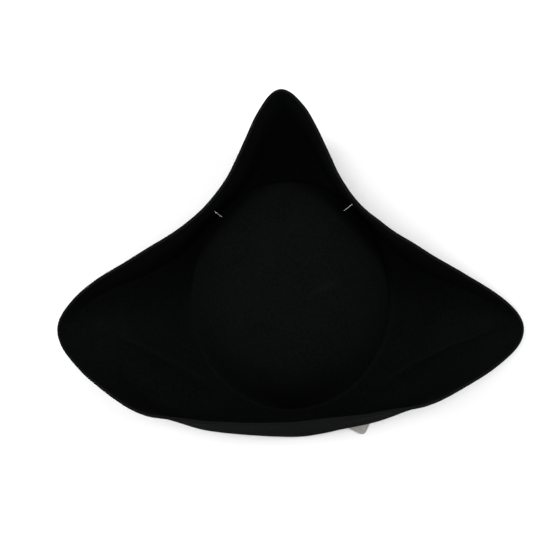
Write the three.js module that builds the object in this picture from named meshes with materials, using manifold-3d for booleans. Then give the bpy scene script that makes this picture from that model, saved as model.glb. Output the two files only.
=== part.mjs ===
// A black wool-felt tricorn hat, in millimetres. +Z is up as worn, +Y points to the front point,
// and the origin is the middle of the head opening, in the plane that the hat rests on.
import * as THREE from "three";
import { mergeVertices } from "three/addons/utils/BufferGeometryUtils.js";
import Module from "manifold-3d";

const wasm = await Module();
wasm.setup();

// ---- Driving dimensions ----

const FELT = 2.5; // thickness of the blocked felt
const GAP = 0.3; // room between neighbouring pieces
const CROWN_HALF_WIDTH = 88; // outside of the crown at its base
const CROWN_FRONT = 104; // from the origin to the crown's outside at the front
const CROWN_BACK = 97; // and at the back, where a head is blunter
const CROWN_HEIGHT = 112;
const CROWN_FULLNESS = 2.7; // exponent of the dome's superellipse: 2 is round, more is boxier
const CROWN_FOOT_Z = 9; // where the dome's wall turns into the brim's root
const POINT_SKEW = 1.9; // degrees that the front point stands off the middle, to the wearer's left
const ROOT_CUT = 3.5; // rounding of the angle between crown and brim
const CREASE_CUT = 2.5;

// The brim's root lies flat on the table except over the swing tag, where it arches up.
// Degrees from the front, to the wearer's right: start, full height, full height, end.
const ARCH = { height: 3.5, angles: [100, 124, 169, 180] };

const BAND = { foot: 5, top: 33, thickness: 0.8, clearance: 0.8, topInset: 6.4 }; // sweatband
const SEAM_Z = 8;
const THREAD_RADIUS = 0.35;
const SIZE_LABEL = { halfAngle: 9, foot: 12, top: 29, thickness: 0.5 };
const CARE_LABEL = { width: 26, height: 20, thickness: 0.4, top: 31.5, inset: 7.9 };

// The two nylon ties that hold the front flaps: where each leaves the crown, degrees from the
// front and height, and the direction in plan that both take from there.
const TIES = { left: { angle: 41.1, height: 64 }, right: { angle: -35.6, height: 73.5 } };
const TIE_HEADING = 52.4; // degrees from the front, to its own side
const TIE_BAR_DEPTH = 5.6; // from the crown's outside to the bar inside it
const FILAMENT_RADIUS = 0.4;
const HOLE_RADIUS = 0.8; // where a filament goes through felt or band
const BAR = { length: 8, radius: 0.5 };
const PADDLE = { width: 5, height: 4, thickness: 0.7 };

const TAG = { width: 35, length: 58, thickness: 0.5, corner: 4, inset: 6, hole: 1.6 };
const TAG_Z = 1.35; // underside of the card
const TAG_HOLE_AT = new THREE.Vector2(25.7, -83.5);
const TAG_HEADING = -26; // degrees from +X in plan, from the hole to the card's far end
const TAG_PIN = { angle: 162, z: 26, depth: 3.9 }; // where its fastener goes through the band

// Stations of the brim, from the front point round to the middle of the back. Each row is: degrees
// from the front, then radius and height of the felt's middle surface at the edge, at the fold
// that the flap rises from and at the pressed crease, the fold's rounding, and two leans. Radii
// are from the origin. Fold and crease heights are above the brim's root. The hat is a little
// lopsided: on the wearer's left, edge and fold stand further out by the first lean and the
// crease by the second, and on the right they stand further in.
const STATIONS = [
  [0, 176, 80, 150, 28, 118, 2, 26, 0, 0],
  [7, 158.5, 82, 144, 23, 116, 1.5, 22, -1.7, 0],
  [12, 140.5, 85, 133, 14, 114, 1, 16, -2.2, 0],
  [18, 123, 89, 120, 6, 112, 0.5, 10, -1.2, 0],
  [26, 107, 95, 110, 1, 106.5, 0, 4.5, 0.5, 0],
  [36, 97.5, 99, 104.5, 0, 102.5, 0, 4, 1.7, 0.5],
  [47, 94.5, 101, 103, 0, 99.5, 0, 4, 2, 0.5],
  [58, 99, 99.5, 103.5, 0, 98.5, 0, 4, 2.1, 0.5],
  [66, 107, 95, 107.5, 0, 99, 0, 4, 3.2, 0],
  [74, 122, 85, 120, 1, 105, 0, 4, 4.4, 0],
  [80, 139, 71, 134, 2, 113, 0.5, 4.5, 5.4, 0],
  [86, 165.5, 51, 161, 4, 130, 1, 5, 6.4, 0],
  [91, 189.5, 36, 184, 8, 158, 3.5, 5, 3.8, 0.5],
  [95, 204.5, 28, 194, 12, 183, 8, 6, 2.3, 1.5],
  [98, 209, 27, 197, 16, 181.5, 9, 7, 1.2, -4.8],
  [102, 207, 30, 188, 17, 162.5, 6, 10, 0.8, -4.6],
  [108, 196, 41, 173, 20, 141.5, 3, 13, 1.8, -2.8],
  [118, 178, 59, 158, 20, 122, 0.5, 13, 3.5, -2.2],
  [130, 160, 73, 150.5, 16, 111, 0, 13, 4.4, -2.1],
  [142, 139, 85, 140.5, 11, 107, 0, 12, 3.6, -0.8],
  [160, 122, 94, 126.7, 7, 110, 0, 11, 2, 0],
  [180, 117.2, 98, 123, 6, 112.5, 0, 10, 0, 0],
];

const STEPS_AROUND = 84;
const CROWN_RINGS = 9;
const BEND_STEPS = 2;
const FLAP_STEPS = 3;
const BAND_STEPS = 56;

// ---- Helpers ----

const radians = THREE.MathUtils.degToRad;

function material(colour, roughness) {
  return new THREE.MeshStandardMaterial({ color: colour, roughness, metalness: 0 });
}

function solidOf(geometry) {
  const bare = geometry.clone();
  for (const name of Object.keys(bare.attributes)) {
    if (name !== "position") bare.deleteAttribute(name);
  }
  const merged = mergeVertices(bare, 1e-4);
  return new wasm.Manifold(
    new wasm.Mesh({
      numProp: 3,
      vertProperties: merged.attributes.position.array,
      triVerts: new Uint32Array(merged.index.array),
    }),
  );
}

function geometryOf(solid) {
  const { vertProperties, triVerts } = solid.getMesh();
  const geometry = new THREE.BufferGeometry();
  geometry.setAttribute("position", new THREE.BufferAttribute(vertProperties, 3));
  geometry.setIndex(new THREE.BufferAttribute(triVerts, 1));
  return geometry;
}

function joined(...geometries) {
  return geometryOf(geometries.map(solidOf).reduce((sum, next) => sum.add(next)));
}

function cutBy(geometry, ...tools) {
  return geometryOf(tools.map(solidOf).reduce((rest, next) => rest.subtract(next), solidOf(geometry)));
}

// A cylinder from one point to another.
function rod(from, to, radius, sides = 8) {
  const along = to.clone().sub(from);
  const geometry = new THREE.CylinderGeometry(radius, radius, along.length(), sides);
  const up = new THREE.Vector3(0, 1, 0);
  geometry.applyQuaternion(new THREE.Quaternion().setFromUnitVectors(up, along.clone().normalize()));
  geometry.translate(...from.clone().lerp(to, 0.5).toArray());
  return geometry;
}

// The closed solid of a given thickness around a sheet. rows[i][j] are points of its middle
// surface, with i running to the left of j's direction as seen from the sheet's upper side. The
// last row joins the first if the sheet wraps, and a wrapped sheet may close over a pole.
function sheetSolid(rows, thickness, { wrap = false, pole = null } = {}) {
  const count = rows.length;
  const width = rows[0].length;
  const last = wrap ? count : count - 1;
  const rowAt = (i) => rows[wrap ? (i + count) % count : THREE.MathUtils.clamp(i, 0, count - 1)];
  const positions = [];
  for (const side of [0.5, -0.5]) {
    for (let i = 0; i < count; i++) {
      for (let j = 0; j < width; j++) {
        const along = rowAt(i)[Math.min(j + 1, width - 1)].clone().sub(rowAt(i)[Math.max(j - 1, 0)]);
        const across = rowAt(i + 1)[j].clone().sub(rowAt(i - 1)[j]);
        const normal = along.cross(across).normalize();
        positions.push(...rows[i][j].clone().addScaledVector(normal, side * thickness).toArray());
      }
    }
  }
  const index = [];
  const upper = (i, j) => (i % count) * width + j;
  const lower = (i, j) => count * width + upper(i, j);
  const quad = (a, b, c, d) => index.push(a, b, c, a, c, d);
  for (let i = 0; i < last; i++) {
    for (let j = 0; j < width - 1; j++) {
      quad(upper(i, j), upper(i, j + 1), upper(i + 1, j + 1), upper(i + 1, j));
      quad(lower(i, j), lower(i + 1, j), lower(i + 1, j + 1), lower(i, j + 1));
    }
    const edge = width - 1;
    quad(upper(i, edge), lower(i, edge), lower(i + 1, edge), upper(i + 1, edge));
    if (pole) {
      index.push(2 * count * width, upper(i, 0), upper(i + 1, 0));
      index.push(2 * count * width + 1, lower(i + 1, 0), lower(i, 0));
    } else {
      quad(upper(i, 0), upper(i + 1, 0), lower(i + 1, 0), lower(i, 0));
    }
  }
  if (pole) {
    positions.push(pole.x, pole.y, pole.z + thickness / 2, pole.x, pole.y, pole.z - thickness / 2);
  }
  for (let j = 0; !wrap && j < width - 1; j++) {
    quad(upper(0, j), lower(0, j), lower(0, j + 1), upper(0, j + 1));
    quad(upper(last, j), upper(last, j + 1), lower(last, j + 1), lower(last, j));
  }
  const geometry = new THREE.BufferGeometry();
  geometry.setAttribute("position", new THREE.Float32BufferAttribute(positions, 3));
  geometry.setIndex(index);
  return geometry;
}

// Radius of the crown's base outline, scaled and then inset, in the direction that is angle
// degrees from the front. The outline is half of an ellipse in front and of a shorter one behind.
function outlineRadius(angle, { scale = 1, inset = 0 } = {}) {
  const ahead = Math.cos(radians(angle));
  const halfWidth = CROWN_HALF_WIDTH * scale - inset;
  const halfLength = (ahead > 0 ? CROWN_FRONT : CROWN_BACK) * scale - inset;
  return 1 / Math.hypot(Math.sin(radians(angle)) / halfWidth, ahead / halfLength);
}

// A point in space. Angles run from the front to the wearer's left.
function polar(angle, radius, z) {
  return new THREE.Vector3(-radius * Math.sin(radians(angle)), radius * Math.cos(radians(angle)), z);
}

// ---- Felt body: crown and brim, blocked from one sheet ----

// The stations' values at an angle from -180 to 180, by cubic Hermite interpolation.
function stationAt(angle) {
  const side = Math.abs(angle);
  const last = STATIONS.length - 1;
  const i = Math.min(STATIONS.findLastIndex((row) => row[0] <= side), last - 1);
  const mirrored = (k) => {
    if (k < 0) return [-STATIONS[-k][0], ...STATIONS[-k].slice(1)];
    if (k > last) return [360 - STATIONS[2 * last - k][0], ...STATIONS[2 * last - k].slice(1)];
    return STATIONS[k];
  };
  const [before, from, to, after] = [i - 1, i, i + 1, i + 2].map(mirrored);
  const step = to[0] - from[0];
  const t = (side - from[0]) / step;
  return from.slice(1).map((value, k) => {
    const next = to[k + 1];
    const slopeFrom = (next - before[k + 1]) / (to[0] - before[0]);
    const slopeTo = (after[k + 1] - value) / (after[0] - from[0]);
    return (
      value * (2 * t ** 3 - 3 * t ** 2 + 1) +
      next * (3 * t ** 2 - 2 * t ** 3) +
      step * (slopeFrom * (t ** 3 - 2 * t ** 2 + t) + slopeTo * (t ** 3 - t ** 2))
    );
  });
}

// Height of the felt's middle surface at the brim's root.
function rootHeight(angle) {
  const [start, full, fullEnd, end] = ARCH.angles;
  const rise = THREE.MathUtils.smoothstep(-angle, start, full);
  const fall = THREE.MathUtils.smoothstep(-angle, fullEnd, end);
  return FELT / 2 + ARCH.height * (rise - fall);
}

// Half-width of the crown's outside at a height, as a share of that at the base.
function domeShare(z) {
  return (1 - (z / CROWN_HEIGHT) ** CROWN_FULLNESS) ** (1 / CROWN_FULLNESS);
}

// The dome's middle surface along one radius, from next to the top down to the crown's foot, as
// (radius, height).
function domeSection(angle) {
  const base = outlineRadius(angle, { inset: FELT / 2 });
  const height = CROWN_HEIGHT - FELT / 2;
  const steepest = Math.asin((CROWN_FOOT_Z / height) ** (CROWN_FULLNESS / 2));
  return Array.from({ length: CROWN_RINGS }, (_, k) => {
    const share = (k + 1) / CROWN_RINGS;
    const turn = THREE.MathUtils.lerp(Math.PI / 2, steepest, share ** 0.9);
    return new THREE.Vector2(
      base * Math.cos(turn) ** (2 / CROWN_FULLNESS),
      height * Math.sin(turn) ** (2 / CROWN_FULLNESS),
    );
  });
}

// The path from start to end past the corners, each rounded. cuts says how far from its corner
// each rounding starts.
function roundedPath(start, corners, end, cuts) {
  const points = [start, ...corners, end];
  const path = [];
  corners.forEach((corner, i) => {
    const back = points[i].clone().sub(corner);
    const on = points[i + 2].clone().sub(corner);
    const from = corner.clone().addScaledVector(back, Math.min(cuts[i] / back.length(), 0.45));
    const to = corner.clone().addScaledVector(on, Math.min(cuts[i] / on.length(), 0.45));
    path.push(...new THREE.QuadraticBezierCurve(from, corner, to).getPoints(BEND_STEPS));
  });
  const foldEnd = path.at(-1);
  for (let k = 1; k <= FLAP_STEPS; k++) path.push(foldEnd.clone().lerp(end, k / FLAP_STEPS));
  return path;
}

// The brim's middle surface along one radius, from the crown's foot to the edge.
function brimSection(angle) {
  const [edgeR, edgeZ, foldR, foldZ, creaseR, creaseZ, foldCut, lean, creaseLean] = stationAt(angle);
  const side = Math.sign(angle);
  const foot = domeSection(angle).at(-1);
  const z = rootHeight(angle);
  const corners = [
    new THREE.Vector2(foot.x + 0.2, z),
    new THREE.Vector2(creaseR + side * creaseLean, z + creaseZ),
    new THREE.Vector2(foldR + side * lean, z + foldZ),
  ];
  const edge = new THREE.Vector2(edgeR + side * lean, edgeZ);
  return roundedPath(foot, corners, edge, [ROOT_CUT, CREASE_CUT, foldCut]);
}

// Radius of the flap's middle surface at a height, in a true direction in plan.
function flapRadius(turned, z) {
  const angle = turned - POINT_SKEW * Math.max(0, Math.cos(radians(turned)));
  const path = brimSection(angle);
  const k = path.findLastIndex((p) => p.y <= z);
  return THREE.MathUtils.mapLinear(z, path[k].y, path[k + 1].y, path[k].x, path[k + 1].x);
}

// Angles all the way round, spaced so that they cut the flaps into equal lengths.
function evenAngles() {
  const fine = 1440;
  const ring = Array.from({ length: fine + 1 }, (_, i) => {
    const angle = THREE.MathUtils.lerp(-180, 180, i / fine);
    const [edgeR, , foldR] = stationAt(angle);
    return { angle, at: polar(angle, (edgeR + foldR) / 2, 0) };
  });
  const walked = [0];
  for (let i = 1; i <= fine; i++) walked.push(walked[i - 1] + ring[i].at.distanceTo(ring[i - 1].at));
  return Array.from({ length: STEPS_AROUND }, (_, k) => {
    const target = (walked[fine] * k) / STEPS_AROUND;
    return ring[walked.findIndex((w) => w >= target)].angle;
  });
}

function feltGeometry() {
  const rows = evenAngles().map((angle) => {
    const turned = angle + POINT_SKEW * Math.max(0, Math.cos(radians(angle)));
    return [...domeSection(angle), ...brimSection(angle)].map((p) => polar(turned, p.x, p.y));
  });
  const pole = new THREE.Vector3(0, 0, CROWN_HEIGHT - FELT / 2);
  return sheetSolid(rows, FELT, { wrap: true, pole });
}

// ---- Nylon fasteners: a cross bar, a thin filament and a flat paddle, in one piece ----

function crossBar(centre, direction) {
  const half = direction.clone().multiplyScalar(BAR.length / 2);
  return rod(centre.clone().sub(half), centre.clone().add(half), BAR.radius);
}

function paddleAt(centre, widthwise, facing) {
  const geometry = new THREE.BoxGeometry(PADDLE.width, PADDLE.height, PADDLE.thickness);
  const upward = new THREE.Vector3().crossVectors(facing, widthwise);
  geometry.applyMatrix4(new THREE.Matrix4().makeBasis(widthwise, upward, facing));
  geometry.translate(...centre.toArray());
  return geometry;
}

// A point on the crown's wall, with the wall's outward direction in plan.
function onCrown(angle, z, inset = 0) {
  const at = polar(angle, outlineRadius(angle, { scale: domeShare(z), inset }), z);
  const halfLength = at.y > 0 ? CROWN_FRONT : CROWN_BACK;
  const out = new THREE.Vector3(at.x / CROWN_HALF_WIDTH ** 2, at.y / halfLength ** 2, 0);
  out.normalize();
  return { at, out, tangent: new THREE.Vector3(-out.y, out.x, 0) };
}

// A tie's bar inside the crown and its paddle, which clears the outside of the flap.
function tieEnds(side) {
  const { angle, height } = TIES[side];
  const { at } = onCrown(angle, height);
  const out = polar(Math.sign(angle) * TIE_HEADING, 1, 0);
  const tangent = new THREE.Vector3(-out.y, out.x, 0);
  const bar = at.clone().addScaledVector(out, -TIE_BAR_DEPTH);
  const clearance = FELT / 2 + GAP + PADDLE.thickness / 2 + 0.7;
  const paddle = at.clone();
  const turned = () => THREE.MathUtils.radToDeg(Math.atan2(-paddle.x, paddle.y));
  while (Math.hypot(paddle.x, paddle.y) < flapRadius(turned(), height) + clearance) {
    paddle.addScaledVector(out, 0.05);
  }
  return { bar, paddle, out, tangent };
}

function tieGeometry(side) {
  const { bar, paddle, out, tangent } = tieEnds(side);
  const filament = rod(bar, paddle, FILAMENT_RADIUS);
  return joined(crossBar(bar, tangent), filament, paddleAt(paddle, tangent, out));
}

function tieHole(side) {
  const { bar, paddle } = tieEnds(side);
  return rod(bar, paddle, HOLE_RADIUS, 10);
}

// ---- Sweatband, its seam and its labels ----

// Inset of the band's middle surface from the crown's base outline, at a height: it is sewn at
// its foot and stands off the felt above.
function bandInset(z) {
  const footInset = FELT + BAND.clearance + BAND.thickness / 2;
  return THREE.MathUtils.mapLinear(z, BAND.foot, BAND.top, footInset, BAND.topInset);
}

// Rows of a strip that follows the band, some way inside it, each from the strip's top down.
function bandStrip(angles, foot, top, inside) {
  return angles.map((angle) =>
    [top, foot].map((z) => polar(angle, outlineRadius(angle, { inset: bandInset(z) + inside }), z)),
  );
}

function ringAngles() {
  return Array.from({ length: BAND_STEPS }, (_, k) => (360 * k) / BAND_STEPS);
}

// Where the swing tag's fastener goes through the band, and the way it points.
function tagPin() {
  const { at, out, tangent } = onCrown(-TAG_PIN.angle, TAG_PIN.z, TAG_PIN.depth);
  const inward = out.clone().negate();
  return { at, inward, tangent };
}

function bandGeometry() {
  const ring = sheetSolid(bandStrip(ringAngles(), BAND.foot, BAND.top, 0), BAND.thickness, { wrap: true });
  const { at, inward } = tagPin();
  return cutBy(ring, rod(at, at.clone().addScaledVector(inward, 5), HOLE_RADIUS, 10));
}

function seamThreadGeometry() {
  const inset = bandInset(SEAM_Z) + BAND.thickness / 2 + GAP + THREAD_RADIUS;
  const path = ringAngles().map((angle) => [angle, outlineRadius(angle, { inset })]);
  const sides = 6;
  const positions = [];
  const index = [];
  path.forEach(([angle, radius], i) => {
    for (let j = 0; j < sides; j++) {
      const turn = (2 * Math.PI * j) / sides;
      const r = radius + THREAD_RADIUS * Math.cos(turn);
      positions.push(...polar(angle, r, SEAM_Z + THREAD_RADIUS * Math.sin(turn)).toArray());
      const here = i * sides;
      const next = ((i + 1) % path.length) * sides;
      const up = (j + 1) % sides;
      index.push(here + j, next + j, next + up, here + j, next + up, here + up);
    }
  });
  const geometry = new THREE.BufferGeometry();
  geometry.setAttribute("position", new THREE.Float32BufferAttribute(positions, 3));
  geometry.setIndex(index);
  return geometry;
}

function sizeLabelGeometry() {
  const inside = BAND.thickness / 2 + GAP + SIZE_LABEL.thickness / 2;
  const steps = 6;
  const angles = Array.from({ length: steps + 1 }, (_, k) =>
    THREE.MathUtils.lerp(180 - SIZE_LABEL.halfAngle, 180 + SIZE_LABEL.halfAngle, k / steps),
  );
  return sheetSolid(bandStrip(angles, SIZE_LABEL.foot, SIZE_LABEL.top, inside), SIZE_LABEL.thickness);
}

// A flat label that hangs from its top edge at the wearer's left.
function careLabelGeometry() {
  const geometry = new THREE.BoxGeometry(CARE_LABEL.thickness, CARE_LABEL.width, CARE_LABEL.height);
  const z = CARE_LABEL.top - CARE_LABEL.height / 2;
  geometry.translate(-(CROWN_HALF_WIDTH - CARE_LABEL.inset), 0, z);
  return geometry;
}

// ---- Swing tag ----

// A card with rounded corners and a punched hole, which is the shape's origin.
function tagGeometry() {
  const { width, length, corner, inset, hole, thickness } = TAG;
  const near = -inset;
  const far = length - inset;
  const half = width / 2;
  const outline = new THREE.Shape();
  outline.moveTo(near + corner, -half);
  outline.lineTo(far - corner, -half);
  outline.absarc(far - corner, -half + corner, corner, -Math.PI / 2, 0, false);
  outline.lineTo(far, half - corner);
  outline.absarc(far - corner, half - corner, corner, 0, Math.PI / 2, false);
  outline.lineTo(near + corner, half);
  outline.absarc(near + corner, half - corner, corner, Math.PI / 2, Math.PI, false);
  outline.lineTo(near, -half + corner);
  outline.absarc(near + corner, -half + corner, corner, Math.PI, 1.5 * Math.PI, false);
  outline.holes.push(new THREE.Path().absarc(0, 0, hole, 0, 2 * Math.PI, true));
  const geometry = new THREE.ExtrudeGeometry(outline, {
    depth: thickness,
    bevelEnabled: false,
    curveSegments: 4,
  });
  geometry.rotateZ(radians(TAG_HEADING));
  geometry.translate(TAG_HOLE_AT.x, TAG_HOLE_AT.y, TAG_Z);
  return geometry;
}

// From a bar behind the band, through it, over and down through the card to a paddle below.
function tagFastenerGeometry() {
  const { at, inward, tangent } = tagPin();
  const bendStart = at.clone().addScaledVector(inward, 4);
  const aboveHole = new THREE.Vector3(TAG_HOLE_AT.x, TAG_HOLE_AT.y, TAG_Z + 3);
  const curve = new THREE.CubicBezierCurve3(
    bendStart,
    bendStart.clone().addScaledVector(inward, 6),
    aboveHole.clone().add(new THREE.Vector3(0, 0, 12)),
    aboveHole,
  );
  const section = new THREE.Shape().absarc(0, 0, FILAMENT_RADIUS, 0, 2 * Math.PI, false);
  const bend = new THREE.ExtrudeGeometry(section, { steps: 14, curveSegments: 4, extrudePath: curve });
  const paddle = aboveHole.clone().setZ(TAG_Z - GAP - PADDLE.thickness / 2);
  const overlap = 0.3;
  return joined(
    crossBar(at, tangent),
    rod(at, bendStart.clone().addScaledVector(inward, overlap), FILAMENT_RADIUS),
    bend,
    rod(aboveHole.clone().setZ(aboveHole.z + overlap), paddle, FILAMENT_RADIUS),
    paddleAt(paddle, new THREE.Vector3(1, 0, 0), new THREE.Vector3(0, 0, 1)),
  );
}

// ---- Assembly ----

const nylon = () => material(0xb8bcc0, 0.3);
const pieces = {
  felt_body: [cutBy(feltGeometry(), tieHole("left"), tieHole("right")), material(0x0d0d0e, 0.95)],
  sweatband: [bandGeometry(), material(0x131315, 0.7)],
  sweatband_seam_thread: [seamThreadGeometry(), material(0x1c1c1f, 0.6)],
  size_label: [sizeLabelGeometry(), material(0xd9d8d4, 0.6)],
  care_label: [careLabelGeometry(), material(0xe9e8e4, 0.5)],
  left_flap_tie: [tieGeometry("left"), nylon()],
  right_flap_tie: [tieGeometry("right"), nylon()],
  tag_fastener: [tagFastenerGeometry(), nylon()],
  swing_tag: [tagGeometry(), material(0x8f8f8d, 0.7)],
};

const hat = new THREE.Group();
hat.name = "tricorn_hat";
for (const [name, [geometry, surface]] of Object.entries(pieces)) {
  const mesh = new THREE.Mesh(geometry, surface);
  mesh.name = name;
  hat.add(mesh);
}

export default hat;
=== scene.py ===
"""A black wool-felt tricorn hat with its sweatband, labels, nylon ties and swing tag."""
import math

import bpy
import numpy as np
from mathutils import Matrix, Vector, noise


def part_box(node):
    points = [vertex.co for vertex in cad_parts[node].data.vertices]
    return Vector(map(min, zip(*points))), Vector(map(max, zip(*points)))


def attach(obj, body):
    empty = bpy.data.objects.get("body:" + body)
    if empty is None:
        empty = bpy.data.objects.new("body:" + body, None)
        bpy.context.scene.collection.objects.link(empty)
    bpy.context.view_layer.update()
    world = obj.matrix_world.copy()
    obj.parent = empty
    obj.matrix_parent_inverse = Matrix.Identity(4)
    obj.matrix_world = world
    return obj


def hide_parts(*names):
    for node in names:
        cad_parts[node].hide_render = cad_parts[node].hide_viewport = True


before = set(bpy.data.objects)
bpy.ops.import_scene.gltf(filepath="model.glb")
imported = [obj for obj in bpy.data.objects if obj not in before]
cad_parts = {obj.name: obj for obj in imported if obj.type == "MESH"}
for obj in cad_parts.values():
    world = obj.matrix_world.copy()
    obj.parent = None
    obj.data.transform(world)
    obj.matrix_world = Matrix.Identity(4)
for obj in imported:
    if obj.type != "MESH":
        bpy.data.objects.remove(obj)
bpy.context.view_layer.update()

# ---- Driving dimensions, in millimetres as in the CAD part ----

MM = 0.001
FELT = 2.5
CROWN_HALF_WIDTH = 88.0
CROWN_FRONT = 104.0
CROWN_BACK = 97.0
CROWN_HEIGHT = 112.0
CROWN_FULLNESS = 2.7
CROWN_FOOT_Z = 9.0
POINT_SKEW = 1.9
ROOT_CUT = 3.5
CREASE_CUT = 1.6
ARCH_HEIGHT = 3.5
ARCH_ANGLES = (100, 124, 169, 180)
BAND = {"foot": 5.0, "top": 33.0, "thickness": 0.8, "clearance": 0.8, "top_inset": 6.4}
SEAM_Z = 8.0
TIES = {"left": (41.1, 64.0), "right": (-35.6, 73.5)}  # degrees from the front, height
TIE_HEADING = 52.4  # degrees from the front, to its own side

# Stations of the brim, from the front point round to the middle of the back. Each row is: degrees
# from the front, then radius and height of the felt's middle surface at the edge, at the fold
# that the flap rises from and at the pressed crease, the fold's rounding, and two leans. Radii
# are from the origin. Fold and crease heights are above the brim's root. The hat is a little
# lopsided: on the wearer's left, edge and fold stand further out by the first lean and the
# crease by the second, and on the right they stand further in.
STATIONS = np.array([
    [0, 176, 80, 150, 28, 118, 2, 26, 0, 0],
    [7, 158.5, 82, 144, 23, 116, 1.5, 22, -1.7, 0],
    [12, 140.5, 85, 133, 14, 114, 1, 16, -2.2, 0],
    [18, 123, 89, 120, 6, 112, 0.5, 10, -1.2, 0],
    [26, 107, 95, 110, 1, 106.5, 0, 4.5, 0.5, 0],
    [36, 97.5, 99, 104.5, 0, 102.5, 0, 4, 1.7, 0.5],
    [47, 94.5, 101, 103, 0, 99.5, 0, 4, 2, 0.5],
    [58, 99, 99.5, 103.5, 0, 98.5, 0, 4, 2.1, 0.5],
    [66, 107, 95, 107.5, 0, 99, 0, 4, 3.2, 0],
    [74, 122, 85, 120, 1, 105, 0, 4, 4.4, 0],
    [80, 139, 71, 134, 2, 113, 0.5, 4.5, 5.4, 0],
    [86, 165.5, 51, 161, 4, 130, 1, 5, 6.4, 0],
    [91, 189.5, 36, 184, 8, 158, 3.5, 5, 3.8, 0.5],
    [95, 204.5, 28, 194, 12, 183, 8, 6, 2.3, 1.5],
    [98, 209, 27, 197, 16, 181.5, 9, 7, 1.2, -4.8],
    [102, 207, 30, 188, 17, 162.5, 6, 10, 0.8, -4.6],
    [108, 196, 41, 173, 20, 141.5, 3, 13, 1.8, -2.8],
    [118, 178, 59, 158, 20, 122, 0.5, 13, 3.5, -2.2],
    [130, 160, 73, 150.5, 16, 111, 0, 13, 4.4, -2.1],
    [142, 139, 85, 140.5, 11, 107, 0, 12, 3.6, -0.8],
    [160, 122, 94, 126.7, 7, 110, 0, 11, 2, 0],
    [180, 117.2, 98, 123, 6, 112.5, 0, 10, 0, 0],
])

AROUND = 640  # steps of the fine felt mesh round the hat
DOME_STEPS = 46
CREASE_STEP = DOME_STEPS + 22  # where a section of the felt passes the pressed crease
CREASE_LIFT = 0.8  # how far the wings swell up to their back crease
CREASE_BREADTH = (5.0, 1.6)  # how broad that swell is on the crown's side and on the flap's
EASE = 1.0  # degrees over which the stations' curves are eased into each other
PUCKER = {"left": 3.0, "right": 1.4}  # how far each tie pulls its flap in
PUCKER_REACH = 9.0
ROOT_LINE = {"height": 0.5, "width": 1.1, "out": 3.4}  # the block's mark round the crown
UNDULATION = {"slow": 0.75, "slow_size": 55.0, "fine": 0.16, "fine_size": 14.0}
TAG = {"width": 35.0, "length": 58.0, "corner": 4.0, "inset": 6.0, "hole": 1.6, "heading": -26.0}
TIE_BAR = {"half": 3.7, "radius": 0.5}  # a nylon tie's cross bar
TIE_PADDLE = (5.0, 4.0, 0.7)  # and the paddle at its other end
TAG_BAR = {"half": 3.6, "radius": 0.48}  # the same on the swing tag's fastener
TAG_PADDLE = (5.0, 4.0, 0.66)


# ---- Meshes ----

def grid_object(name, rows, wrap_rows=True, wrap_columns=False, poles=None):
    """A mesh from a grid of points in millimetres. poles closes the first and last columns."""
    count, width = rows.shape[:2]
    points = rows.reshape(-1, 3)
    faces = []
    for i in range(count if wrap_rows else count - 1):
        here, there = i * width, ((i + 1) % count) * width
        for j in range(width if wrap_columns else width - 1):
            k = (j + 1) % width
            faces.append((here + j, here + k, there + k, there + j))
    if poles is not None:
        points = np.vstack([points, poles])
        first, last = count * width, count * width + 1
        for i in range(count):
            here, there = i * width, ((i + 1) % count) * width
            faces.append((first, here, there))
            faces.append((last, there + width - 1, here + width - 1))
    return mesh_object(name, points, faces)


def mesh_object(name, points, faces):
    mesh = bpy.data.meshes.new(name)
    mesh.from_pydata((np.asarray(points) * MM).tolist(), [], faces)
    mesh.shade_smooth()
    made = bpy.data.objects.new(name, mesh)
    bpy.context.scene.collection.objects.link(made)
    return made


def set_weights(made, name, values):
    """Stores one number per vertex for a material to read."""
    attribute = made.data.attributes.new(name, "FLOAT", "POINT")
    attribute.data.foreach_set("value", np.asarray(values, np.float32))


def unit(vectors):
    vectors = np.asarray(vectors, float)
    return vectors / np.maximum(np.linalg.norm(vectors, axis=-1, keepdims=True), 1e-9)


def smoothstep(x, start, end):
    t = np.clip((x - start) / (end - start), 0, 1)
    return t * t * (3 - 2 * t)


def tube(name, path, radius, sides=10):
    """A capped round tube along a path, whose ends are domed."""
    path = np.asarray(path, float)
    start, end = unit(path[0] - path[1]), unit(path[-1] - path[-2])
    dome = np.radians([75, 45, 20])
    head = [path[0] + start * radius * math.sin(a) for a in dome]
    tail = [path[-1] + end * radius * math.sin(a) for a in dome[::-1]]
    straight_radii = np.full(len(path), float(radius))
    path = np.vstack([head, path, tail])
    radii = np.concatenate([radius * np.cos(dome), straight_radii, radius * np.cos(dome[::-1])])
    tangents = unit(np.gradient(path, axis=0))
    helper = np.eye(3)[np.argmin(np.abs(unit(path[-1] - path[0])))]
    across = unit(np.cross(tangents, helper))
    up = np.cross(across, tangents)
    turns = np.linspace(0, 2 * math.pi, sides, endpoint=False)[:, None, None]
    spokes = across[None] * np.cos(turns) + up[None] * np.sin(turns)
    rings = path[None] + radii[None, :, None] * spokes
    return grid_object(name, rings, poles=np.array([path[0], path[-1]]))


def join_objects(name, parts):
    bpy.ops.object.select_all(action="DESELECT")
    for part in parts:
        part.select_set(True)
    bpy.context.view_layer.objects.active = parts[0]
    bpy.ops.object.join()
    parts[0].name = name
    parts[0].data.name = name
    return parts[0]


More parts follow.
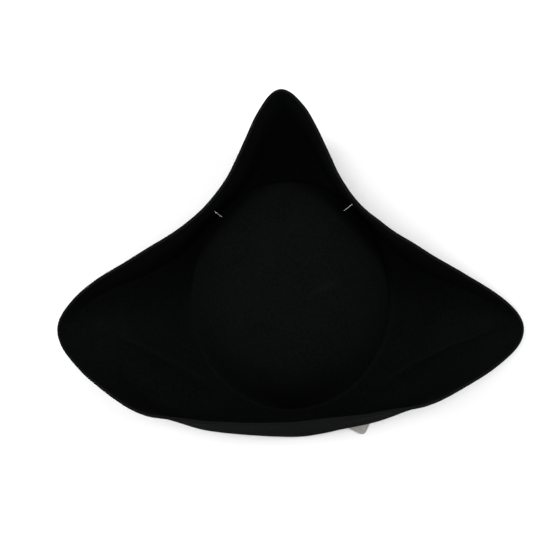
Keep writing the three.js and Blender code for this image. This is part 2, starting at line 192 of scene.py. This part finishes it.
def round_box(name, centre, axes, sizes, rounding):
    """A box with rounded edges. axes are its three unit directions."""
    signs = [np.array([x, y, z]) for x in (-1, 1) for y in (-1, 1) for z in (-1, 1)]
    half = np.array(sizes) / 2
    points = [np.asarray(centre) + (sign * half) @ np.array(axes) for sign in signs]
    faces = [(0, 1, 3, 2), (4, 6, 7, 5), (0, 4, 5, 1), (2, 3, 7, 6), (0, 2, 6, 4), (1, 5, 7, 3)]
    made = mesh_object(name, points, faces)
    bevel = made.modifiers.new("bevel", "BEVEL")
    bevel.width = rounding * MM
    bevel.segments = 3
    bpy.context.view_layer.objects.active = made
    bpy.ops.object.modifier_apply(modifier="bevel")
    made.data.shade_smooth()
    return made


def bezier(points, steps):
    a, b, c, d = (np.asarray(p, float) for p in points)
    t = np.linspace(0, 1, steps)[:, None]
    return a * (1 - t) ** 3 + b * 3 * t * (1 - t) ** 2 + c * 3 * t**2 * (1 - t) + d * t**3


# ---- The felt's shape ----

def outline_radius(angle, scale=1.0, inset=0.0):
    """Radius of the crown's base outline, scaled and then inset. It is half of an ellipse in
    front and half of a shorter one behind."""
    turn = np.radians(angle)
    half_width = CROWN_HALF_WIDTH * scale - inset
    half_length = np.where(np.cos(turn) > 0, CROWN_FRONT, CROWN_BACK) * scale - inset
    return 1 / np.hypot(np.sin(turn) / half_width, np.cos(turn) / half_length)


def polar(angle, radius, z):
    """Points in space. Angles run from the front to the wearer's left."""
    turn = np.radians(angle)
    return np.stack(np.broadcast_arrays(-radius * np.sin(turn), radius * np.cos(turn), z), axis=-1)


def station_curves(angles):
    """The stations' values at each angle from -180 to 180, eased round the hat."""
    rows = np.vstack([STATIONS[1:2], STATIONS, STATIONS[-2:-1]])
    rows[0, 0] = -rows[0, 0]
    rows[-1, 0] = 360 - rows[-1, 0]
    at, values = rows[1:-1, 0], rows[1:-1, 1:]
    slopes = (rows[2:, 1:] - rows[:-2, 1:]) / (rows[2:, 0] - rows[:-2, 0])[:, None]
    fine = np.arange(-180, 180, 0.25)
    side = np.abs(fine)
    i = np.clip(np.searchsorted(at, side, side="right") - 1, 0, len(at) - 2)
    step = (at[i + 1] - at[i])[:, None]
    t = (side - at[i])[:, None] / step
    curve = (
        values[i] * (2 * t**3 - 3 * t**2 + 1)
        + values[i + 1] * (3 * t**2 - 2 * t**3)
        + step * (slopes[i] * (t**3 - 2 * t**2 + t) + slopes[i + 1] * (t**3 - t**2))
    )
    lean, crease_lean = (curve[:, k] * np.sign(fine) for k in (7, 8))
    curve[:, 0] += lean
    curve[:, 2] += lean
    curve[:, 4] += crease_lean
    spread = 180 - np.abs(fine)
    kernel = np.exp(-0.5 * (spread / EASE) ** 2)
    kernel /= kernel.sum()
    eased = np.fft.ifft(np.fft.fft(curve, axis=0) * np.fft.fft(kernel)[:, None], axis=0).real
    return np.stack([np.interp(angles, fine, eased[:, k], period=360) for k in range(7)], axis=-1)


def root_height(angles):
    start, full, full_end, end = ARCH_ANGLES
    rise = smoothstep(-angles, start, full) - smoothstep(-angles, full_end, end)
    return FELT / 2 + ARCH_HEIGHT * rise


def dome_share(z):
    """Half-width of the crown's outside at a height, as a share of that at the base."""
    return (1 - (z / CROWN_HEIGHT) ** CROWN_FULLNESS) ** (1 / CROWN_FULLNESS)


def dome_section(angles, steps):
    """The dome's middle surface from next to the top down to the crown's foot: radii, heights."""
    base = outline_radius(angles, inset=FELT / 2)
    height = CROWN_HEIGHT - FELT / 2
    steepest = math.asin((CROWN_FOOT_Z / height) ** (CROWN_FULLNESS / 2))
    share = (np.arange(steps) + 1) / steps
    turn = math.pi / 2 + (steepest - math.pi / 2) * share**0.9
    radii = base[:, None] * np.cos(turn) ** (2 / CROWN_FULLNESS)
    heights = np.broadcast_to(height * np.sin(turn) ** (2 / CROWN_FULLNESS), radii.shape)
    return np.stack([radii, heights], axis=-1)


def bend(before, corner, after, cut, steps):
    """A rounded corner of a section, which starts cut before the corner and ends cut after it."""
    back, on = before - corner, after - corner
    share_back = np.minimum(cut / np.linalg.norm(back, axis=-1), 0.45)[:, None]
    share_on = np.minimum(cut / np.linalg.norm(on, axis=-1), 0.45)[:, None]
    start, end = corner + back * share_back, corner + on * share_on
    t = np.linspace(0, 1, steps)[None, :, None]
    return (
        start[:, None] * (1 - t) ** 2 + corner[:, None] * 2 * t * (1 - t) + end[:, None] * t**2
    )


def straight(start, end, steps):
    """Points strictly between two points of a section."""
    t = (np.arange(steps) + 1)[None, :, None] / (steps + 1)
    return start[:, None] * (1 - t) + end[:, None] * t


def brim_section(angles, foot):
    """The brim's middle surface from the crown's foot to the edge: radii, heights."""
    edge_r, edge_z, fold_r, fold_z, crease_r, crease_z, fold_cut = station_curves(angles).T
    z = root_height(angles)
    root = np.stack([foot[:, 0] + 0.2, z], axis=-1)
    crease = np.stack([crease_r, z + crease_z], axis=-1)
    fold = np.stack([fold_r, z + fold_z], axis=-1)
    edge = np.stack([edge_r, edge_z], axis=-1)
    at_root = bend(foot, root, crease, ROOT_CUT, 8)
    at_crease = bend(root, crease, fold, CREASE_CUT, 6)
    at_fold = bend(crease, fold, edge, fold_cut, 14)
    return np.concatenate([
        straight(foot, at_root[:, 0], 2),
        at_root,
        straight(at_root[:, -1], at_crease[:, 0], 10),
        at_crease,
        straight(at_crease[:, -1], at_fold[:, 0], 12),
        at_fold,
        straight(at_fold[:, -1], edge, 20),
        edge[:, None],
    ], axis=1)


def even_angles(count):
    """Angles all the way round, spaced so that they cut the flaps into equal lengths."""
    fine = np.linspace(-180, 180, 2881)
    curves = station_curves(fine)
    ring = polar(fine, (curves[:, 0] + curves[:, 2]) / 2, 0)
    walked = np.concatenate([[0], np.cumsum(np.linalg.norm(np.diff(ring, axis=0), axis=1))])
    return np.interp(np.arange(count) * walked[-1] / count, walked, fine)


def undulation(points):
    """How far each point of the felt stands off its blocked shape: slow waves and fine ones."""
    heights = []
    elsewhere = Vector((31.0, 7.0, 3.0))
    for p in points.reshape(-1, 3):
        slow = noise.noise(Vector(p) / UNDULATION["slow_size"])
        fine = noise.noise(Vector(p) / UNDULATION["fine_size"] + elsewhere)
        heights.append(UNDULATION["slow"] * slow + UNDULATION["fine"] * fine)
    return np.array(heights).reshape(points.shape[:2])


def crown_dent(points):
    """A faint slanting wave that packing left across the crown's top, and a painted highlight along
    its ridge.
    """
    x, y, z = np.moveaxis(points, -1, 0)
    along, across = x * 0.88 + y * 0.47, y * 0.88 - x * 0.47
    fade = smoothstep(z, 90, 108) * np.exp(-(((along - 28) / 22) ** 2))
    ridge = np.exp(-(((across + 19) / 4) ** 2))
    hollow = np.exp(-(((across + 29) / 7) ** 2))
    return fade * (0.7 * ridge - 0.6 * hollow), fade**3 * ridge**2


def outward(at):
    """The crown wall's outward direction in plan, at a point on it."""
    half_length = CROWN_FRONT if at[1] > 0 else CROWN_BACK
    return unit([at[0] / CROWN_HALF_WIDTH**2, at[1] / half_length**2, 0])


def tie_ends(side):
    """A tie's bar, its paddle and the way between them, from where its CAD node lies."""
    angle, height = TIES[side]
    at = polar(angle, outline_radius(angle, dome_share(height)), height)
    out = polar(math.copysign(TIE_HEADING, angle), 1, 0)
    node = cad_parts[f"{side}_flap_tie"]
    reach = [(np.array(v.co) / MM - at) @ out for v in node.data.vertices]
    bar, paddle = min(reach) + TIE_BAR["radius"], max(reach) - TIE_PADDLE[2] / 2
    return at + out * bar, at + out * (paddle - PUCKER[side]), out


def pucker(points):
    """The pull of the two ties on the flaps, as a shift of each point."""
    shift = np.zeros_like(points)
    for side in TIES:
        _, paddle, out = tie_ends(side)
        far = np.linalg.norm(points - paddle - out * PUCKER[side], axis=-1)
        shift -= out * (PUCKER[side] * np.exp(-((far / PUCKER_REACH) ** 2)))[..., None]
    return shift


def grid_normals(rows):
    along = np.gradient(rows, axis=1)
    across = np.roll(rows, -1, axis=0) - np.roll(rows, 1, axis=0)
    return unit(np.cross(along, across))


def felt_middle():
    """The felt's middle surface as a grid, with its normals and how much painted highlight each
    point gets.
    """
    angles = even_angles(AROUND)
    dome = dome_section(angles, DOME_STEPS)
    section = np.concatenate([dome, brim_section(angles, dome[:, -1])], axis=1)
    steps = np.linalg.norm(np.diff(section, axis=1), axis=-1)
    walked = np.concatenate([np.zeros((AROUND, 1)), np.cumsum(steps, axis=1)], axis=1)
    past_crease = walked - walked[:, CREASE_STEP : CREASE_STEP + 1]
    back = smoothstep(np.abs(angles), 97, 104) * (1 - smoothstep(np.abs(angles), 126, 148))
    breadth = np.where(past_crease < 0, *CREASE_BREADTH)
    pressed = np.exp(-((past_crease / breadth) ** 2)) * back[:, None]
    turned = angles + POINT_SKEW * np.maximum(0, np.cos(np.radians(angles)))
    rows = polar(turned[:, None], section[..., 0], section[..., 1])
    fade = smoothstep(rows[..., 2], 3, 14)
    away = section[..., 0] - dome[:, -1:, 0] - ROOT_LINE["out"]
    at_foot = section[..., 1] < 12
    ridge = ROOT_LINE["height"] * np.exp(-((away / ROOT_LINE["width"]) ** 2)) * at_foot
    dent, dent_highlight = crown_dent(rows)
    height = undulation(rows) * fade + dent + ridge + CREASE_LIFT * pressed
    rows = rows + grid_normals(rows) * height[..., None] + pucker(rows)
    # Painted highlight: the back creases, the crown's ridge and the root line are made lighter in
    # colour.
    return rows, grid_normals(rows), 0.3 * pressed**3 + 0.5 * dent_highlight + ridge


def make_felt():
    """The felt's two faces and its cut edge, which is rounded a little, as one closed mesh."""
    rows, normals, painted_highlight = felt_middle()
    half = FELT / 2
    past_edge = unit(rows[:, -1] - rows[:, -3])
    cap = []
    for turn in np.radians(np.linspace(75, -75, 7)):
        lift = normals[:, -1] * (half * math.sin(turn))
        cap.append(rows[:, -1] + lift + past_edge * (0.55 * math.cos(turn) ** 0.7))
    cap = np.stack(cap, axis=1)
    lower = rows - normals * half
    lower[..., 2] = np.maximum(lower[..., 2], 0.05)  # no lower than the table
    full = np.concatenate([rows + normals * half, cap, lower[:, ::-1]], axis=1)
    top = np.array([0, 0, CROWN_HEIGHT])
    felt = grid_object("felt_hat", full, poles=np.array([top, top - [0, 0, FELT]]))
    width = rows.shape[1]
    cut = np.zeros(full.shape[:2])
    cut[:, width - 1 : width + cap.shape[1] + 1] = 1.0
    set_weights(felt, "cut_edge", np.append(cut.ravel(), [0, 0]))
    # The painted highlight's weights, on the outer face only.
    painted_highlight_weights = np.zeros(full.shape[:2])
    painted_highlight_weights[:, :width] = painted_highlight
    set_weights(felt, "painted_highlight", np.append(painted_highlight_weights.ravel(), [0, 0]))
    return felt


# ---- Sweatband, seam and labels ----

def band_inset(z):
    """Inset of the band's middle surface from the crown's base outline, at a height."""
    foot_inset = FELT + BAND["clearance"] + BAND["thickness"] / 2
    share = (z - BAND["foot"]) / (BAND["top"] - BAND["foot"])
    return foot_inset + (BAND["top_inset"] - foot_inset) * share


def on_band(angle, z, inside=0.0):
    """A point on the band's middle surface, or some way inside it."""
    inset = band_inset(np.asarray(z, float)) + inside
    return polar(angle, outline_radius(angle, inset=inset), z)


def make_sweatband():
    """A ribbed grosgrain ribbon with corded selvedges, whose ends lap at the back."""
    ribs = 620
    angles = np.arange(2 * ribs) * 180.0 / ribs
    half = BAND["thickness"] / 2
    heights = np.linspace(BAND["foot"] + 0.5, BAND["top"] - 0.5, 18)
    cord = sum(np.exp(-(((heights - edge) / 0.9) ** 2)) for edge in (heights[0], heights[-1]))
    rib = np.where(np.arange(2 * ribs) % 2 == 0, 0.07, -0.07)
    lap = 0.35 * smoothstep(angles, 176, 177.2) * (1 - smoothstep(angles, 186, 186.2))
    rows = []
    for angle, ridge, raised in zip(angles, rib, lap):
        outer = [on_band(angle, z, -half - 0.25 * c - ridge) for z, c in zip(heights, cord)]
        inner = [on_band(angle, z, half + 0.25 * c + ridge + raised) for z, c in zip(heights, cord)]
        top, foot = on_band(angle, BAND["top"]), on_band(angle, BAND["foot"])
        rows.append([foot, *outer, top, *inner[::-1]])
    return grid_object("sweatband_ribbon", np.array(rows), wrap_columns=True)


def stitch(start, end, lift, radius=0.32):
    """One thread stitch from hole to hole, bowed off the cloth along lift."""
    t = np.linspace(0, 1, 7)[:, None]
    path = np.asarray(start) * (1 - t) + np.asarray(end) * t + np.asarray(lift) * (4 * t * (1 - t))
    return tube("stitch", path, radius, sides=6)


def make_seam():
    """A row of long running stitches round the band's foot."""
    pitch, share = 5.0, 0.72
    parts = []
    angle = 0.0
    while angle < 360:
        radius = np.linalg.norm(on_band(angle, SEAM_Z)[:2])
        step = math.degrees(pitch / radius)
        start, end = (on_band(angle + k * step, SEAM_Z, 0.45) for k in (0.0, share))
        inward = -unit([*start[:2], 0]) * 0.55
        parts.append(stitch(start, end, inward))
        angle += step
    return join_objects("seam_stitches", parts)


def cloth_patch(name, points, thickness):
    """A thin cloth patch with rounded edges from a grid of its middle surface."""
    along, across = np.gradient(points, axis=1), np.gradient(points, axis=0)
    normals = unit(np.cross(along, across))
    half = thickness / 2
    upper, lower = points + normals * half, points - normals * half
    loop = np.concatenate([upper, lower[:, ::-1]], axis=1)
    first, last = points[:1] - across[:1] * 0.08, points[-1:] + across[-1:] * 0.08
    ends = [np.concatenate([end, end[:, ::-1]], axis=1) for end in (first, last)]
    rows = np.concatenate([ends[0], loop, ends[1]], axis=0)
    return grid_object(name, rows, wrap_rows=False, wrap_columns=True)


def make_size_label():
    """A small woven label, folded under at its ends and sewn flat at the back of the band."""
    low, high = (np.array(c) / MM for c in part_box("size_label"))
    heights = np.linspace(high[2] - 0.1, low[2] + 0.1, 26)
    angles = np.linspace(171.2, 188.8, 40)
    inside = BAND["thickness"] / 2 + 0.62
    rows = []
    for angle in angles:
        ends = 0.14 * (np.abs(angle - 180) > 7.4)
        wave = 0.06 * math.sin(angle * 2.1)
        rows.append([on_band(angle, z, inside + ends + wave * math.sin(z * 0.5)) for z in heights])
    label = cloth_patch("size_label_cloth", np.array(rows), 0.4)
    threads = []
    for angle in (172.1, 187.9):
        for z in np.arange(low[2] + 1.2, high[2] - 1.5, 2.3):
            start, end = (on_band(angle, z + k, inside + 0.3) for k in (0, 1.6))
            threads.append(stitch(start, end, -unit([*start[:2], 0]) * 0.25, 0.14))
    return label, join_objects("size_label_stitches", threads)


def make_care_label():
    """A satin label that hangs from a stitched top edge and curls a little at its foot."""
    low, high = (np.array(c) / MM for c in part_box("care_label"))
    middle = (low[0] + high[0]) / 2
    down = np.linspace(0, 1, 26)
    rows = []
    for y in np.linspace(low[1] + 0.1, high[1] - 0.1, 34):
        curl = 1.7 * down**3 + 0.25 * np.sin(down * 5 + y * 0.16) * down
        z = high[2] - (high[2] - low[2]) * down
        rows.append(np.stack([middle + curl, np.full_like(down, y), z], axis=-1))
    label = cloth_patch("care_label_cloth", np.array(rows), 0.3)
    threads = []
    for y in np.arange(low[1] + 1.5, high[1] - 2.5, 3.1):
        start = np.array([middle + 0.12, y, high[2] - 1.6])
        threads.append(stitch(start, start + [0, 2.1, 0], (0.3, 0, 0), 0.15))
    return label, join_objects("care_label_stitches", threads)


# ---- Nylon fasteners ----

def cross_bar(middle, tangent, size):
    reach = tangent * size["half"]
    return tube("bar", [middle - reach, middle, middle + reach], size["radius"])


def make_tie(side):
    """Cross bar, filament and paddle of one moulded nylon tie, pulled taut."""
    bar, paddle, out = tie_ends(side)
    tangent = np.array([-out[1], out[0], 0])
    t = np.linspace(0, 1, 14)[:, None]
    filament = bar * (1 - t) + paddle * t - np.array([0, 0, 0.35]) * (4 * t * (1 - t))
    parts = [
        cross_bar(bar, tangent, TIE_BAR),
        tube("filament", filament, 0.24),
        tube("knuckle", [bar, bar + out * 1.2], 0.62),
        round_box("paddle", paddle, (tangent, (0, 0, 1), out), TIE_PADDLE, 0.3),
        tube("boss", [paddle - out * 0.9, paddle], 0.7),
    ]
    return join_objects(f"{side}_nylon_tie", parts)


def make_tag_fastener():
    """From a bar behind the band, through it and down through the card to a paddle below."""
    low, high = (np.array(c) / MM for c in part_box("tag_fastener"))
    hole = tag_hole()
    points = np.array([v.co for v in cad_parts["tag_fastener"].data.vertices]) / MM
    bar = points[points[:, 2] > high[2] - 0.6].mean(axis=0)
    bar[2] = high[2] - 0.5
    inward = -outward(bar)
    outermost = points[points @ inward < (points @ inward).min() + 1.0].mean(axis=0)
    bar[:2] = outermost[:2]
    tangent = np.array([-inward[1], inward[0], 0])
    above = np.array([hole[0], hole[1], hole[2] + 2.8])
    start = bar + inward * 4
    curve = bezier([start, start + inward * 6, above + [0, 0, 12], above], 26)
    paddle = np.array([hole[0], hole[1], low[2] + 0.35])
    path = np.vstack([bar, bar + inward * 2, curve, paddle])
    parts = [
        cross_bar(bar, tangent, TAG_BAR),
        tube("filament", path, 0.4),
        round_box("paddle", paddle, np.eye(3), TAG_PADDLE, 0.28),
    ]
    return join_objects("tag_nylon_fastener", parts)


# ---- Swing tag ----

def tag_hole():
    """Where the card is punched: on its long middle line, near the end inside the hat."""
    low, high = (np.array(c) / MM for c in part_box("swing_tag"))
    heading = np.radians(TAG["heading"])
    along = np.array([math.cos(heading), math.sin(heading)])
    centre = (low[:2] + high[:2]) / 2
    return np.append(centre - along * (TAG["length"] / 2 - TAG["inset"]), (low[2] + high[2]) / 2)


def tag_outline(steps=9):
    """The card's rounded outline round its hole, anticlockwise."""
    near, far = -TAG["inset"], TAG["length"] - TAG["inset"]
    half, corner = TAG["width"] / 2, TAG["corner"]
    points = []
    for x, y, start in ((far, -half, -90), (far, half, 0), (near, half, 90), (near, -half, 180)):
        centre = np.array([x - math.copysign(corner, x), y - math.copysign(corner, y)])
        for turn in np.radians(np.linspace(start, start + 90, steps)):
            points.append(centre + corner * np.array([math.cos(turn), math.sin(turn)]))
    loop = []
    for a, b in zip(points, points[1:] + points[:1]):
        count = max(1, int(np.linalg.norm(b - a) / 2.5))
        loop += [a + (b - a) * k / count for k in range(count)]
    return np.array(loop)


def make_swing_tag():
    """A blank two-ply card with soft corners, hardly bowed, with a punched hole."""
    outline = tag_outline()
    hole = tag_hole()
    half = 0.25
    rim = unit(outline) * TAG["hole"]
    rings = []
    # From the hole out to the edge: how far across the card, and its share of the thickness.
    inner_half = ((0, 0), (0, 0.6), (0.02, 1), (0.25, 1), (0.55, 1))
    outer_half = ((0.8, 1), (0.99, 1), (1, 0.6), (1, 0))
    for share, lift in inner_half + outer_half:
        flat = rim + (outline - rim) * share
        rings.append(np.column_stack([flat, np.full(len(flat), half * lift)]))
    lower = [ring * [1, 1, -1] for ring in rings[-2:0:-1]]
    rows = np.stack(rings + lower, axis=1)
    rows[..., 2] += 0.16 * np.cos(rows[..., 0] / 22.0) * np.cos(rows[..., 1] / 13.0)
    heading = np.radians(TAG["heading"])
    across, along = math.sin(heading), math.cos(heading)
    rows[..., :2] = rows[..., :2] @ np.array([[along, across], [-across, along]])
    return grid_object("swing_tag_card", rows + hole, wrap_columns=True)


# ---- Materials ----

class Nodes:
    """A material's node tree, with short calls to add and join nodes."""

    def __init__(self, name):
        self.material = bpy.data.materials.new(name)
        self.material.use_nodes = True
        self.tree = self.material.node_tree
        self.shader = self.tree.nodes["Principled BSDF"]
        self.place = self.add("ShaderNodeTexCoord").outputs["Object"]

    def add(self, kind, settings=(), **inputs):
        node = self.tree.nodes.new(kind)
        for key, value in dict(settings).items():
            setattr(node, key, value)
        for key, value in inputs.items():
            node.inputs[key.replace("_", " ")].default_value = value
        return node

    def link(self, start, end):
        self.tree.links.new(start, end)

    def stretched(self, stretch):
        mapping = self.add("ShaderNodeMapping", Scale=stretch)
        self.link(self.place, mapping.inputs["Vector"])
        return mapping.outputs["Vector"]

    def noise(self, scale, detail=3.0, stretch=(1, 1, 1)):
        node = self.add("ShaderNodeTexNoise", Scale=scale, Detail=detail)
        self.link(self.stretched(stretch), node.inputs["Vector"])
        return node.outputs["Fac"]

    def wave(self, scale, direction, distortion=0.4):
        bands = {"bands_direction": direction}
        node = self.add("ShaderNodeTexWave", bands, Scale=scale, Distortion=distortion)
        self.link(self.place, node.inputs["Vector"])
        return node.outputs["Fac"]

    def ramp(self, factor, *stops):
        node = self.add("ShaderNodeValToRGB")
        for element, (position, colour) in zip(node.color_ramp.elements, stops):
            element.position = position
            element.color = (*colour, 1)
        self.link(factor, node.inputs["Fac"])
        return node.outputs["Color"]

    def mix(self, factor, a, b):
        node = self.add("ShaderNodeMix", {"data_type": "RGBA"})
        for value, socket in zip((factor, a, b), (node.inputs[0], node.inputs[6], node.inputs[7])):
            if isinstance(value, tuple):
                socket.default_value = (*value, 1)
            else:
                self.link(value, socket)
        return node.outputs[2]

    def times(self, a, b):
        node = self.add("ShaderNodeMath", {"operation": "MULTIPLY"})
        self.link(a, node.inputs[0])
        self.link(b, node.inputs[1])
        return node.outputs["Value"]

    def bump(self, *layers):
        """Stacks (height, strength, distance in metres) layers onto the shader's normal."""
        normal = None
        for height, strength, distance in layers:
            node = self.add("ShaderNodeBump", Strength=strength, Distance=distance)
            self.link(height, node.inputs["Height"])
            if normal is not None:
                self.link(normal, node.inputs["Normal"])
            normal = node.outputs["Normal"]
        self.link(normal, self.shader.inputs["Normal"])

    def colour(self, socket):
        self.link(socket, self.shader.inputs["Base Color"])

    def roughness(self, factor, low, high):
        node = self.add("ShaderNodeMapRange", To_Min=low, To_Max=high)
        self.link(factor, node.inputs["Value"])
        self.link(node.outputs["Result"], self.shader.inputs["Roughness"])

    def constants(self, **values):
        for key, value in values.items():
            self.shader.inputs[key.replace("_", " ")].default_value = value


def felt_material():
    """Pressed black wool: clouded dye, tangled fibres, a soft sheen, a paler cut edge and painted
    highlights along the creases, the crown's ridge and the root line.
    """
    nodes = Nodes("wool_felt")
    cloud = nodes.noise(38, 4)
    fibre = nodes.noise(1500, 6)
    strands = nodes.noise(420, 5, (1, 3.2, 1.6))
    dye = nodes.ramp(cloud, (0.3, (0.0008, 0.00095, 0.0009)), (0.7, (0.0013, 0.0015, 0.00145)))
    tuft = nodes.ramp(nodes.noise(420, 3), (0.3, (0, 0, 0)), (0.75, (1, 1, 1)))
    body = nodes.mix(tuft, dye, (0.0018, 0.002, 0.0019))
    lint = nodes.ramp(fibre, (0.5, (0, 0, 0)), (0.8, (1, 1, 1)))
    body = nodes.mix(lint, body, (0.0024, 0.0027, 0.0026))
    # Painted highlight: lighter felt along the back creases, the crown's ridge and the root line.
    painted_highlight = nodes.add("ShaderNodeAttribute", {"attribute_name": "painted_highlight"}).outputs["Fac"]
    body = nodes.mix(painted_highlight, body, (0.0026, 0.0029, 0.0028))
    edge = nodes.add("ShaderNodeAttribute", {"attribute_name": "cut_edge"}).outputs["Fac"]
    raw = nodes.ramp(fibre, (0.35, (0.002, 0.0022, 0.0022)), (0.7, (0.0045, 0.0048, 0.005)))
    nodes.colour(nodes.mix(edge, body, raw))
    nodes.roughness(fibre, 0.86, 1.0)
    nodes.bump((strands, 0.35, 0.0004), (fibre, 0.45, 0.00025))
    nodes.constants(Sheen_Weight=0.0015, Sheen_Roughness=0.4, Specular_IOR_Level=0.005)
    return nodes.material


def grosgrain_material():
    nodes = Nodes("black_grosgrain")
    yarn = nodes.noise(900, 4, (1, 1, 0.35))
    cloud = nodes.noise(60, 3)
    tone = nodes.ramp(cloud, (0.3, (0.0021, 0.0021, 0.0023)), (0.7, (0.0036, 0.0036, 0.0039)))
    nodes.colour(nodes.mix(yarn, tone, (0.005, 0.005, 0.0056)))
    nodes.roughness(yarn, 0.45, 0.68)
    nodes.bump((nodes.wave(520, "Z"), 0.25, 0.00012), (yarn, 0.3, 0.0001))
    nodes.constants(Sheen_Weight=0.02, Specular_IOR_Level=0.2)
    return nodes.material


def thread_material():
    nodes = Nodes("spun_thread")
    twist = nodes.wave(1100, "DIAGONAL", 0.8)
    tone = nodes.ramp(twist, (0.2, (0.008, 0.008, 0.009)), (0.8, (0.018, 0.018, 0.020)))
    nodes.colour(tone)
    nodes.roughness(twist, 0.5, 0.7)
    nodes.bump((twist, 0.5, 0.00015))
    nodes.constants(Sheen_Weight=0.1)
    return nodes.material


def white_thread_material():
    nodes = Nodes("white_thread")
    twist = nodes.wave(1500, "DIAGONAL", 0.8)
    nodes.colour(nodes.ramp(twist, (0.2, (0.58, 0.57, 0.54)), (0.8, (0.78, 0.77, 0.74))))
    nodes.roughness(twist, 0.5, 0.7)
    nodes.bump((twist, 0.4, 0.0001))
    return nodes.material


def satin_material(name, pale, dark):
    """Woven satin: fine crossing yarns, with the warp catching the light."""
    nodes = Nodes(name)
    weave = nodes.times(nodes.wave(1400, "Z", 0.2), nodes.wave(1400, "Y", 0.2))
    tone = nodes.mix(weave, nodes.ramp(nodes.noise(140, 3), (0.3, dark), (0.7, pale)), pale)
    nodes.colour(tone)
    nodes.roughness(weave, 0.34, 0.5)
    nodes.bump((weave, 0.35, 0.0001), (nodes.noise(300, 3), 0.15, 0.0002))
    nodes.constants(Sheen_Weight=0.15, Specular_IOR_Level=0.5)
    return nodes.material


def nylon_material():
    nodes = Nodes("clear_nylon")
    haze = nodes.noise(700, 3)
    nodes.colour(nodes.ramp(haze, (0.3, (0.5, 0.52, 0.53)), (0.7, (0.6, 0.62, 0.64))))
    nodes.roughness(haze, 0.22, 0.4)
    nodes.bump((haze, 0.15, 0.0001))
    nodes.constants(Transmission_Weight=0.5, IOR=1.53)
    return nodes.material


def card_material():
    nodes = Nodes("card_painted_shade_grey")
    pulp = nodes.noise(320, 6)
    flecks = nodes.noise(2200, 4)
    # The card's grey tone is painted shade: a paler card as it looks lying in the hat's shadow.
    tone = nodes.ramp(pulp, (0.3, (0.17, 0.168, 0.16)), (0.7, (0.22, 0.218, 0.205)))
    fleck = nodes.ramp(flecks, (0.55, (0, 0, 0)), (0.75, (1, 1, 1)))
    nodes.colour(nodes.mix(fleck, tone, (0.13, 0.125, 0.115)))
    nodes.roughness(pulp, 0.62, 0.82)
    nodes.bump((pulp, 0.2, 0.0002), (flecks, 0.15, 0.0001))
    nodes.constants(Specular_IOR_Level=0.3)
    return nodes.material


# ---- Studio ----

def make_stage():
    reach = 6000
    corners = [(-reach, -reach, 0), (reach, -reach, 0), (reach, reach, 0), (-reach, reach, 0)]
    floor = mesh_object("floor", corners, [(0, 1, 2, 3)])
    nodes = Nodes("pale_floor")
    nodes.colour(nodes.ramp(nodes.noise(3, 2), (0.3, (0.6, 0.6, 0.6)), (0.7, (0.62, 0.62, 0.62))))
    nodes.constants(Roughness=0.9, Specular_IOR_Level=0.1)
    floor.data.materials.append(nodes.material)


def make_light(name, place, target, size, power):
    data = bpy.data.lights.new(name, "AREA")
    data.shape = "DISK"
    data.size = size
    data.energy = power
    light = bpy.data.objects.new(name, data)
    light.location = place
    light.rotation_euler = (Vector(target) - Vector(place)).to_track_quat("-Z", "Y").to_euler()
    bpy.context.scene.collection.objects.link(light)


def make_lights():
    world = bpy.data.worlds.new("studio")
    world.use_nodes = True
    background = world.node_tree.nodes["Background"]
    background.inputs["Color"].default_value = (1.0, 1.0, 1.0, 1)
    background.inputs["Strength"].default_value = 0.72
    bpy.context.scene.world = world
    make_light("left_box", (-1.9, 0.2, 1.7), (0, 0, 0.05), 1.4, 52)
    make_light("right_box", (1.9, 0.2, 1.7), (0, 0, 0.05), 1.4, 52)
    make_light("top_box", (-0.3, 1.2, 2.2), (0, 0, 0.05), 1.2, 6)
    make_light("front_box", (-0.1, -0.4, 2.7), (0, 0, 0.05), 0.9, 44)


def make_camera():
    target = Vector((-10.5, 19.5, 0)) * MM
    back = Vector((0.056, -0.1494, 0))
    back.z = math.sqrt(1 - back.length_squared)
    right = Vector((0, 1, 0)).cross(back).normalized()
    data = bpy.data.cameras.new("camera")
    data.sensor_width = 36
    data.lens = 106.07
    data.clip_start = 0.05
    data.clip_end = 30
    camera = bpy.data.objects.new("camera", data)
    camera.matrix_world = Matrix((right, back.cross(right), back)).transposed().to_4x4()
    camera.location = target + back * 1.5
    bpy.context.scene.collection.objects.link(camera)
    bpy.context.scene.camera = camera


# ---- Assembly ----

def dress(piece, body, slot_name, material, *cad_nodes):
    piece.data.materials.clear()
    piece.data.materials.append(material)
    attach(piece, body)
    if cad_nodes:
        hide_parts(*cad_nodes)


make_camera()
make_stage()
make_lights()
bpy.context.scene.view_settings.view_transform = "Standard"

black_thread, white_thread, nylon = thread_material(), white_thread_material(), nylon_material()
dress(make_felt(), "hat", "felt", felt_material(), "felt_body")
dress(make_sweatband(), "hat", "grosgrain", grosgrain_material(), "sweatband")
dress(make_seam(), "hat", "thread", black_thread, "sweatband_seam_thread")

label, stitches = make_size_label()
satin = satin_material("grey_satin", (0.66, 0.65, 0.62), (0.55, 0.54, 0.52))
dress(label, "hat", "satin", satin, "size_label")
dress(stitches, "hat", "thread", white_thread)

label, stitches = make_care_label()
white_satin = satin_material("white_satin", (0.8, 0.8, 0.78), (0.7, 0.7, 0.68))
dress(label, "care", "satin_white", white_satin, "care_label")
dress(stitches, "care", "thread", white_thread)

for side in TIES:
    dress(make_tie(side), "hat", "nylon", nylon, f"{side}_flap_tie")
dress(make_tag_fastener(), "hat", "nylon", nylon, "tag_fastener")
dress(make_swing_tag(), "tag", "card", card_material(), "swing_tag")
